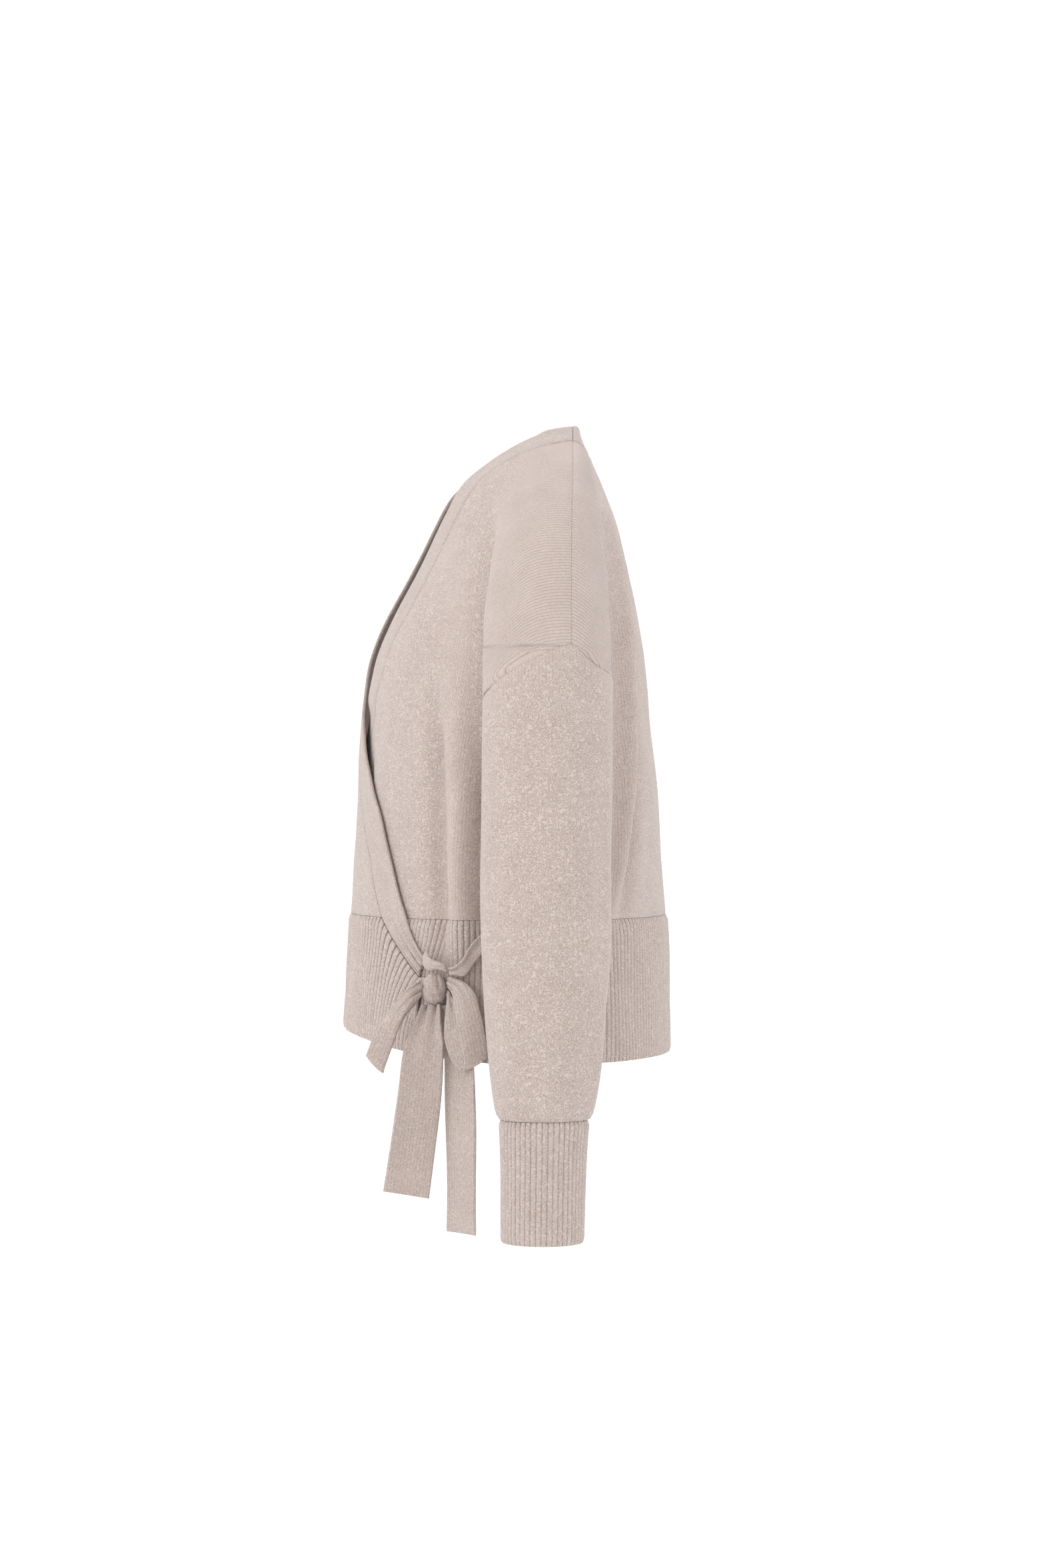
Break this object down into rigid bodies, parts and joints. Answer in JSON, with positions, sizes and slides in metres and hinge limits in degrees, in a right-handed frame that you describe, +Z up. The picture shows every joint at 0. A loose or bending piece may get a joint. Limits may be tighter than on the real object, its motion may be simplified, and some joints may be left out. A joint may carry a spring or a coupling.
{
  "type": "wrap cardigan",
  "caption": "Hollow knitted wrap cardigan in worn form, with long sleeves, deep ribbed hem and cuffs, a band round the neck and down the fronts, and a tie bow at the left hip.",
  "frame": {"origin": "between the shoulders, at the height where the neckband meets the shoulder seam", "axes": "+Z up, +X to the wearer's left, the wearer faces -Y"},
  "size_m": [0.668, 0.2913, 0.697],
  "materials": {
    "knit": "brushed stocking stitch, matt",
    "rib": "1x1 rib, matt",
    "band": "plain knitted strip, matt"
  },
  "bodies": {
    "root": {"back": "knit", "back_neck_band": "band", "back_hem_rib": "rib", "left_front": "knit", "left_front_band": "band", "left_front_hem_rib": "rib", "left_sleeve": "knit", "left_cuff": "rib", "right_front": "knit", "right_front_band": "band", "right_front_hem_rib": "rib", "right_sleeve": "knit", "right_cuff": "rib", "bow_knot": "band", "loop_front": "band", "loop_back": "band", "tail_front": "band", "tail_back": "band", "side_tie": "band", "knot_wrap": "band"}
  },
  "joints": []
}
